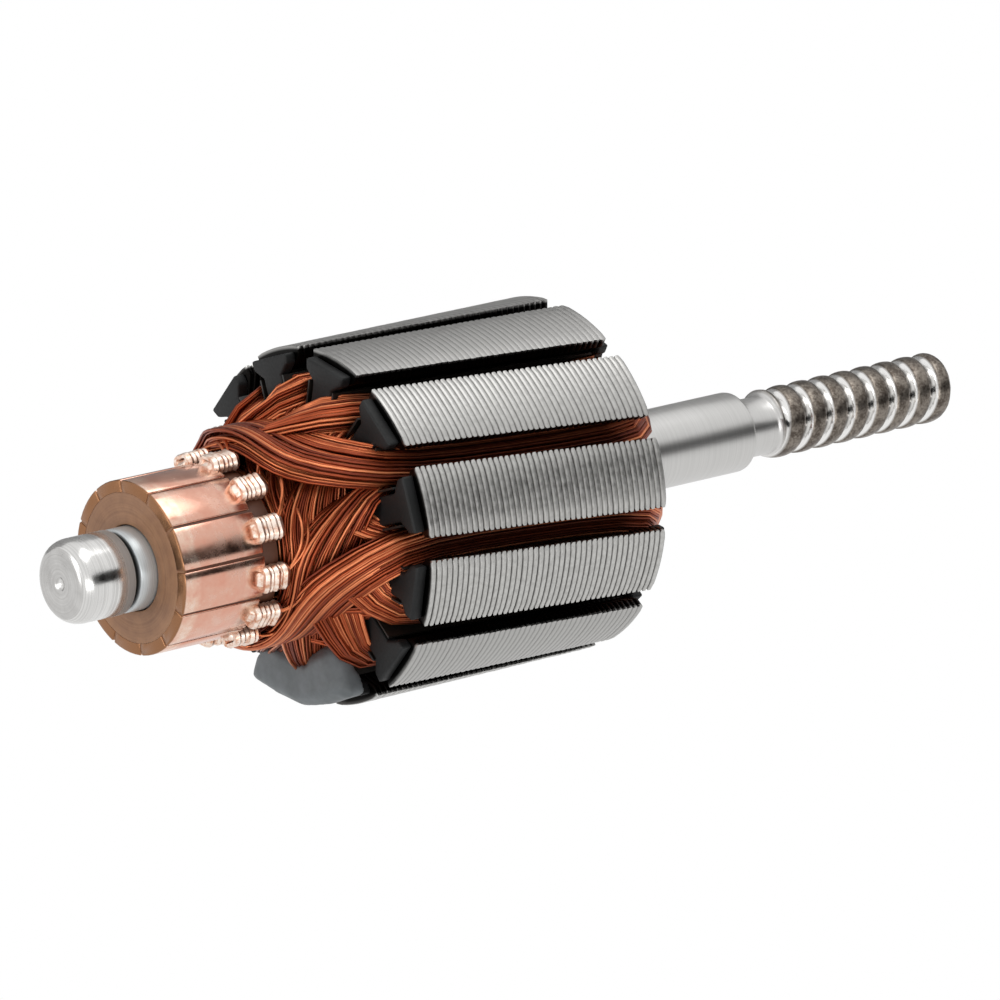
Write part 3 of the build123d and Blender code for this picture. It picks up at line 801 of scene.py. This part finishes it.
moulding = {
    "sidesPerBar": 8,
    "barRadius": 8.93,
    "ribRadius": 10.1,  # thin ribs stand between the bars
    "ribHalfDeg": 0.8,
    "profile": [
        (19.75, 5.36), (19.75, 9.3), (19.6, 9.5), (17.3, 9.5), (16.7, 9.3), (16.6, 8.93),
        (5.6, 8.93), (5.58, 8.92), (5.5, 8.9), (5.45, 8.85), (5.45, 6.6), (5.47, 6.5), (5.45, 6.4),
        (5.45, 5.3), (5.55, 5.12), (5.9, 5.06),
    ],
}


def makeMoulding(values):
    # the brown body inside the bars, with a rib in each gap and its rear collar
    angles = []
    pitch = 360 / bars["count"]
    half, count = values["ribHalfDeg"], values["sidesPerBar"]
    for bar in range(bars["count"]):
        gap = bars["firstDeg"] + (bar + 0.5) * pitch
        angles += [(gap - half - 0.1, False), (gap - half, True)]
        angles += [(gap + half, True), (gap + half + 0.1, False)]
        angles += [(gap + pitch * step / count, False) for step in range(1, count)]
    loops = []
    for x, radius in values["profile"]:
        loop = []
        for angle, onRib in angles[::-1]:
            high = values["ribRadius"] if onRib and radius == values["barRadius"] else radius
            loop.append(shaftPoint(x * mm, high * mm, angle))
        loops.append(loop)
    verts, faces = bridge(loops, ends="joined")
    piece = makePiece("commutatorMoulding", verts, faces, "phenolic")
    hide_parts("commutator_body")


makeMoulding(moulding)
for bar in range(bars["count"]):
    makeBar(bars, bar)
    makeHook(bars, bar)
print("commutator bars and hooks:", bars["count"])


softened = {
    "edge": 0.45,  # mm
    "sharpDeg": 28,
    "flatDeg": 3,
    "fingers": (10, 16),  # mm of radius over which the fingers are drawn in
}


def softEdges(values, name, node, drawIn=1.0):
    # the CAD piece again with its edges rounded, and its fingers drawn in a little
    work = bmesh.new()
    work.from_mesh(frame["nodes"][node].data)
    bmesh.ops.remove_doubles(work, verts=work.verts, dist=1e-6)
    flat, least = math.radians(values["flatDeg"]), math.radians(values["sharpDeg"])
    bmesh.ops.dissolve_limit(work, angle_limit=flat, verts=work.verts, edges=work.edges)
    sharp = [edge for edge in work.edges if len(edge.link_faces) == 2 and edge.calc_face_angle() > least]
    rounding = {"offset": values["edge"] * mm, "segments": 3, "profile": 0.5, "clamp_overlap": True}
    bmesh.ops.bevel(work, geom=sharp, affect="EDGES", **rounding)
    bmesh.ops.triangulate(work, faces=[face for face in work.faces if len(face.verts) > 4])
    verts = []
    inner, outer = values["fingers"]
    for vert in work.verts:
        share = smoothStep(inner * mm, outer * mm, math.hypot(vert.co.y, vert.co.z))
        scale = 1 + (drawIn - 1) * share
        verts.append((vert.co.x, vert.co.y * scale, vert.co.z * scale))
    work.verts.index_update()
    faces = [[vert.index for vert in face.verts] for face in work.faces]
    work.free()
    piece = makePiece(name, verts, faces, "moulded_plastic", creaseDeg=35)
    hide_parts(node)


softEdges(softened, "frontInsulator", "end_insulator_front")
softEdges(softened, "rearInsulator", "end_insulator_rear", drawIn=0.94)
print("end insulators rounded")


def makePuttyLump(values):
    # the lump of putty, pressed on by thumb: remeshed, smoothed and swollen a little
    source = frame["nodes"]["balancing_putty"]
    draft = bpy.data.objects.new("puttyDraft", source.data.copy())
    bpy.context.scene.collection.objects.link(draft)
    remesh = draft.modifiers.new("remesh", "REMESH")
    remesh.mode = "VOXEL"
    remesh.voxel_size = values["voxel"] * mm
    smooth = draft.modifiers.new("smooth", "SMOOTH")
    smooth.factor = 0.5
    smooth.iterations = 10
    finished = draft.evaluated_get(bpy.context.evaluated_depsgraph_get()).to_mesh()
    verts = np.array([vert.co for vert in finished.vertices])
    normals = np.array([vert.normal for vert in finished.vertices])
    faces = [list(face.vertices) for face in finished.polygons]
    wideY, wideZ = values["thumbs"]
    wave = np.sin(verts[:, 1] / (wideY * mm)) * np.sin(verts[:, 2] / (wideZ * mm) + 1.0)
    verts = verts + normals * (values["swell"] + values["wave"] * wave)[:, None] * mm
    verts = np.clip(verts, np.array(puttyLow) - values["voxel"] * mm, np.array(puttyHigh))
    bpy.data.objects.remove(draft)
    piece = makePiece("puttyLump", verts, faces, "putty", creaseDeg=80)
    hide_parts("balancing_putty")


makePuttyLump(putty)
print("putty pressed on")

winding = {
    "coils": 12,
    "slotSpan": 5,
    "firstSlot": 3,
    "wire": 0.38,  # mm over the enamel
    "across": 24,  # strands side by side in the widest part
    "layers": 3,
    "sides": 5,  # of each strand's section
    "pointsPerTurn": 25,
    "slotShares": (0.06, 0.3, 0.5, 0.7, 0.94),
    "seed": 11,
    "slotShade": 0.95,  # how dark the painted shade on the wire is inside a slot
    "slotShadeInSlots": {1: 0.55, 2: 0.6, 7: 0.6, 8: 0.55},  # the last coils fill these to the mouth
    "topExit": {"radius": (16.4, 19.4), "reach": (-2.0, 2.3)},  # mm, from slot's middle towards the coil's
    "lowExit": {"radius": (12.2, 16.8), "reach": (-0.6, 1.8)},
    "topSlot": {"radius": (14.2, 17.3), "reach": (-1.9, 1.9)},
    "lowSlot": {"radius": (11.4, 14.4), "reach": (-1.0, 1.0)},
}

# where each pair of opposite coils passes the shaft: radii and distances from the plate in mm,
# and how late it dives back to its slots
frontBands = [
    {"radii": (6.5, 7.9), "near": 0.6, "far": 9.2, "dive": 1.3},
    {"radii": (7.5, 8.9), "near": 0.9, "far": 9.8, "dive": 1.4},
    {"radii": (8.5, 9.8), "near": 1.2, "far": 10.3, "dive": 1.4},
    {"radii": (9.4, 10.8), "near": 1.6, "far": 10.6, "dive": 1.5},
    {"radii": (10.4, 12.0), "near": 2.4, "far": 10.8, "dive": 1.7},
    {"radii": (11.7, 13.7), "near": 3.2, "far": 10.8, "dive": 3.2},
]
squeezed = {11: 1.2}  # mm that the lower of the last two coils lies nearer the shaft
slipBack = {5: 2.6}  # mm that the foremost turns of one coil slip back, past the shaft's top
rearBands = [
    {"radii": (6.3, 7.2), "near": 0.4, "far": 5.0, "dive": 1.4},
    {"radii": (7.0, 8.0), "near": 0.5, "far": 5.4, "dive": 1.4},
    {"radii": (7.8, 8.8), "near": 0.6, "far": 5.7, "dive": 1.4},
    {"radii": (8.6, 9.6), "near": 0.8, "far": 6.0, "dive": 1.4},
    {"radii": (9.4, 10.6), "near": 1.0, "far": 6.2, "dive": 1.4},
    {"radii": (10.4, 11.8), "near": 1.2, "far": 6.4, "dive": 1.4},
]


def slotMiddle(slot, x):
    skew = rotor["skewDeg"] * (x - rotor["coreFrontX"]) / (rotor["coreRearX"] - rotor["coreFrontX"])
    return rotor["firstToothDeg"] + (slot + 0.5) * 360 / rotor["slots"] + skew


def onTop(coil, atStart):
    # the last pair lies on top in both its slots, the first pair in neither
    pair = coil % 6
    return pair == 5 if atStart else pair > 0


def turnPoints(coil, band, faceX, away, strand):
    # one strand's way over an end, from the first slot to the last: straight to the winding
    # under it, round that, and straight again to the other slot
    count = winding["pointsPerTurn"]
    halfSpan = winding["slotSpan"] * 180 / rotor["slots"]
    middle = slotMiddle(coil + winding["firstSlot"], faceX) + halfSpan
    points = []
    atFront = away < 0
    pulledIn = squeezed.get(coil, 0.0) if atFront else 0.0
    slip = slipBack.get(coil, 0.0) if atFront else 0.0
    midRadius = (between(band["radii"], strand["high"]) - pulledIn) * mm
    midX = faceX + away * between((band["far"], band["near"]), strand["wide"]) * mm
    for index in range(count):
        share = 1 - 2 * index / (count - 1)
        mouth = winding["topExit" if onTop(coil, share > 0) else "lowExit"]
        exitRadius = between(mouth["radius"], strand["exitHigh"]) * mm
        reach = between(mouth["reach"], strand["exitWide"]) * mm
        endAngle = halfSpan - math.degrees(reach / exitRadius)
        bend = endAngle - math.degrees(math.acos(midRadius / exitRadius))
        angle = abs(share) * endAngle
        beyond = math.radians(max(0.0, angle - bend))
        radius = midRadius / math.cos(beyond)
        run = midRadius * math.tan(beyond) / math.sqrt(exitRadius ** 2 - midRadius ** 2)
        rise = min(1.0, run) ** band["dive"]
        x = midX + (faceX - midX) * rise
        x += slip * smoothStep(0.0, 0.3, share) * (1 - strand["wide"]) * (1 - rise) * mm
        sway = strand["sway"] * math.sin(strand["phase"] + 5 * share) * (1 - rise) * mm
        points.append(shaftPoint(x + sway, radius, middle - math.copysign(angle, share)))
    return points


def slotPoints(coil, atStart, strand, backwards):
    # the straight run through the skewed slot
    slot = coil + winding["firstSlot"] + (0 if atStart else winding["slotSpan"])
    side = winding["topSlot" if onTop(coil, atStart) else "lowSlot"]
    radius = between(side["radius"], strand["exitHigh"]) * mm
    reach = between(side["reach"], strand["exitWide"]) * mm
    towards = 1 if atStart else -1
    points = []
    for share in winding["slotShares"]:
        x = rotor["coreFrontX"] + share * (rotor["coreRearX"] - rotor["coreFrontX"])
        angle = slotMiddle(slot, x) + towards * math.degrees(reach / radius)
        points.append(shaftPoint(x, radius, angle))
    return points[::-1] if backwards else points


def slotAt(x, y, z):
    # the slot that a point in the core lies in
    angle = math.degrees(math.atan2(-y, z))
    return round((angle - slotMiddle(0, x)) * rotor["slots"] / 360) % rotor["slots"]


def smoothLine(points, rounds, closed=True):
    # takes the corners off a line
    line = np.array(points)
    for _ in range(rounds):
        eased = 0.5 * line + 0.25 * (np.roll(line, 1, axis=0) + np.roll(line, -1, axis=0))
        if not closed:
            eased[0], eased[-1] = line[0], line[-1]
        line = eased
    return line


def strandMesh(lines, sides, ends="joined"):
    # round strands in one mesh, each with its own tone, and painted shade where it lies sunk in a slot
    radius = winding["wire"] / 2 * mm
    turns = [2 * math.pi * side / sides for side in range(sides)]
    verts, faces, shades, slotShade = [], [], [], []
    for line, shade in lines:
        if ends == "joined":
            along = np.roll(line, -1, axis=0) - np.roll(line, 1, axis=0)
        else:
            along = np.gradient(line, axis=0)
        along /= np.linalg.norm(along, axis=1)[:, None]
        normal = np.cross(along[0], (0.3, 0.5, 0.8))
        rings = []
        for spot, ahead in zip(line, along):
            normal = normal - ahead * normal.dot(ahead)
            normal /= np.linalg.norm(normal)
            other = np.cross(ahead, normal)
            inSlot = min(spot[0] - rotor["coreFrontX"], rotor["coreRearX"] - spot[0]) / mm
            # how much painted shade this point takes, growing over the first 3 mm in from either end of the
            # core
            depth = winding["slotShadeInSlots"].get(slotAt(*spot), winding["slotShade"]) * smoothStep(0, 3, inSlot)
            spokes = [math.cos(turn) * normal + math.sin(turn) * other for turn in turns]
            rings.append([spot + radius * spoke for spoke in spokes])
            shades += [shade] * sides
            slotShade += [depth] * sides
        points, skin = bridge(rings, ends, len(verts))
        verts += points
        faces += skin
    return verts, faces, {"strandShade": shades, "strandSunk": slotShade}


def makeCoil(coil):
    # one coil as its separate turns of wire
    chance = random.Random(winding["seed"] + coil)
    pair = coil % 6
    lines = []
    across, layers = winding["across"], winding["layers"]
    for layer in range(layers):
        for place in range(across):
            wide = (place + 0.5 * (layer % 2) + chance.uniform(-0.35, 0.35)) / (across - 0.5)
            high = (layers - 1 - layer) / (layers - 1) + chance.uniform(-0.12, 0.12)
            strand = {
                "wide": min(1.0, max(0.0, wide)),
                "high": min(1.0, max(0.0, high)),
                "exitWide": min(1.0, max(0.0, wide + chance.uniform(-0.05, 0.05))),
                "exitHigh": min(1.0, max(0.0, high * 0.8 + 0.2 * chance.random())),
                "sway": chance.uniform(-0.16, 0.16),
                "phase": chance.uniform(0, 6.28),
            }
            front = turnPoints(coil, frontBands[pair], rotor["plateFrontX"], -1, strand)
            rear = turnPoints(coil, rearBands[pair], rotor["plateRearX"], 1, strand)
            loop = front + slotPoints(coil, False, strand, False)
            loop += rear[::-1] + slotPoints(coil, True, strand, True)
            lines.append((smoothLine(loop, 2), chance.random()))
    verts, faces, perPoint = strandMesh(lines, winding["sides"])
    name = f"coilWire_{coil + 1:02d}"
    piece = makePiece(name, verts, faces, "enamelled_wire", perPoint=perPoint, creaseDeg=180)
    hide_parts(f"coil_{coil + 1:02d}")


for coil in range(winding["coils"]):
    makeCoil(coil)
print("coils wound:", winding["coils"])

leads = {
    "perHook": 2,
    "hookRadius": 10.9,
    "highRadius": (11.9, 12.3),
    "endRadius": (10.6, 11.2),
    "sweepDeg": (34, 52),
    "hookX": (18.4, 19.6),
    "endX": (22.6, 24.6),
    "points": 14,
    "sides": 6,
    "seed": 21,
}


def makeLeads(values, bar):
    # the wires that run from a hook back into the winding
    chance = random.Random(values["seed"] + bar)
    middle = bars["firstDeg"] + bar * 360 / bars["count"]
    lines = []
    for lead in range(values["perHook"]):
        sweep = -chance.uniform(*values["sweepDeg"])
        high = chance.uniform(*values["highRadius"])
        end = chance.uniform(*values["endRadius"])
        startX = chance.uniform(*values["hookX"])
        endX = chance.uniform(*values["endX"])
        points = []
        for index in range(values["points"]):
            share = index / (values["points"] - 1)
            radius = between((values["hookRadius"], high), smoothStep(0, 0.4, share))
            radius = between((radius, end), smoothStep(0.5, 1, share))
            x = startX + (endX - startX) * share ** 0.8
            points.append(shaftPoint(x * mm, radius * mm, middle + sweep * share))
        lines.append((smoothLine(points, 2, closed=False), chance.uniform(0.6, 1.0)))
    verts, faces, perPoint = strandMesh(lines, values["sides"], ends="capped")
    makePiece(f"leads_{bar + 1:02d}", verts, faces, "enamelled_wire", perPoint=perPoint, creaseDeg=60)


for bar in range(bars["count"]):
    makeLeads(leads, bar)
print("leads drawn:", bars["count"] * leads["perHook"])

view = {
    "azimuth": -39.475,
    "elevation": 16.098,
    "place": (-0.6108, -0.8151, 0.3028),
    "lens": 333.14,
    "sensor": 36.0,
}


def makeCamera(values):
    camera = bpy.data.cameras.new("camera")
    camera.lens = values["lens"]
    camera.sensor_width = values["sensor"]
    camera.clip_end = 50.0
    holder = bpy.data.objects.new("camera", camera)
    bpy.context.scene.collection.objects.link(holder)
    azimuth = math.radians(values["azimuth"])
    elevation = math.radians(values["elevation"])
    forward = Vector((
        -math.sin(azimuth) * math.cos(elevation),
        math.cos(azimuth) * math.cos(elevation),
        -math.sin(elevation),
    ))
    holder.rotation_euler = forward.to_track_quat("-Z", "Y").to_euler()
    holder.location = values["place"]
    bpy.context.scene.camera = holder


studio = {
    "floorDrop": 0.11,
    "floorSize": 6.0,
    "floorColour": "#f4f4f4",
    "worldStrength": 0.5,
    "cardTarget": (0.06, 0.0, 0.0),  # the rotor's middle, that the cards face
}
lamps = {
    "keyLamp": {"size": (0.7, 0.4), "power": 1.9, "place": (0.15, -0.15, 0.85)},
    "sideLamp": {"size": (0.4, 0.7), "power": 2.0, "place": (-0.8, 0.1, 0.25)},
    "lowLamp": {"size": (0.6, 0.3), "power": 1.5, "place": (-0.3, -0.7, -0.02)},
}
cards = {
    # cards out of the picture, that the metal mirrors as darker bands
    "blackCard": {"away": 0.75, "towards": (0.575, -0.80, 0.17), "size": (1.5, 0.34), "colour": "#060606"},
    "greyCard": {"away": 0.8, "towards": (0.45, 0.85, 0.3), "size": (1.6, 0.75), "colour": "#bdbdbd"},
}


def makeLamp(name, values):
    lamp = bpy.data.lights.new(name, "AREA")
    lamp.shape = "RECTANGLE"
    lamp.size, lamp.size_y = values["size"]
    lamp.energy = values["power"]
    holder = bpy.data.objects.new(name, lamp)
    bpy.context.scene.collection.objects.link(holder)
    holder.location = values["place"]
    target = Vector(((cadBox[0][0] + cadBox[1][0]) / 2, 0, 0))
    holder.rotation_euler = (target - Vector(values["place"])).to_track_quat("-Z", "Y").to_euler()


def seenWhite(tree, surface, kind):
    # plain white to the camera and to what is mirrored or seen through, itself to all other light
    path = addNode(tree, "LightPath").node.outputs
    seen = {0: path["Is Camera Ray"], 1: path["Is Transmission Ray"]}
    seen = addNode(tree, "Math", seen, operation="MAXIMUM")
    seen = addNode(tree, "Math", {0: seen, 1: path["Is Glossy Ray"]}, operation="MAXIMUM")
    white = addNode(tree, kind, {"Color": (1, 1, 1, 1), "Strength": 1.0})
    return addNode(tree, "MixShader", {0: seen, 1: surface, 2: white})


def makeWorld(values):
    world = bpy.data.worlds.new("studio")
    bpy.context.scene.world = world
    world.use_nodes = True
    tree = world.node_tree
    tree.nodes.clear()
    soft = addNode(tree, "Background", {"Color": (1, 1, 1, 1), "Strength": values["worldStrength"]})
    addNode(tree, "OutputWorld", {"Surface": seenWhite(tree, soft, "Background")})


def makeFlat(name, corners, material):
    # a flat piece of the studio
    mesh = bpy.data.meshes.new(name)
    mesh.from_pydata([tuple(corner) for corner in corners], [], [(0, 1, 2, 3)])
    mesh.materials.append(material)
    piece = bpy.data.objects.new(name, mesh)
    bpy.context.scene.collection.objects.link(piece)
    return piece


def makeFloor(values):
    material, tree, shader = startMaterial("paleFloor", values["floorColour"], 0.9)
    surface, output = tree.links[0].from_socket, tree.links[0].to_socket
    tree.links.new(seenWhite(tree, surface, "Emission"), output)
    half = values["floorSize"] / 2
    floorZ = coreLow.z - values["floorDrop"]
    corners = [(-half, -half, floorZ), (half, -half, floorZ), (half, half, floorZ), (-half, half, floorZ)]
    floor = makeFlat("floor", corners, material)


def makeCard(name, values):
    target = Vector(studio["cardTarget"])
    centre = Vector(values["towards"]).normalized() * values["away"] + target
    facing = (target - centre).normalized()
    along = (Vector((1, 0, 0)) - facing * facing.x).normalized()
    up = facing.cross(along)
    wide, tall = values["size"]
    sides = ((-1, -1), (1, -1), (1, 1), (-1, 1))
    corners = [centre + along * a * wide / 2 + up * b * tall / 2 for a, b in sides]
    material, tree, shader = startMaterial(name, values["colour"], 1.0)
    shader["Specular IOR Level"].default_value = 0.0
    card = makeFlat(name, corners, material)
    card.visible_camera = False
    card.visible_shadow = False


makeCamera(view)
makeWorld(studio)
for name, values in lamps.items():
    makeLamp(name, values)
bpy.context.scene.view_settings.view_transform = "Standard"
makeFloor(studio)
for name, values in cards.items():
    makeCard(name, values)
print("studio ready")
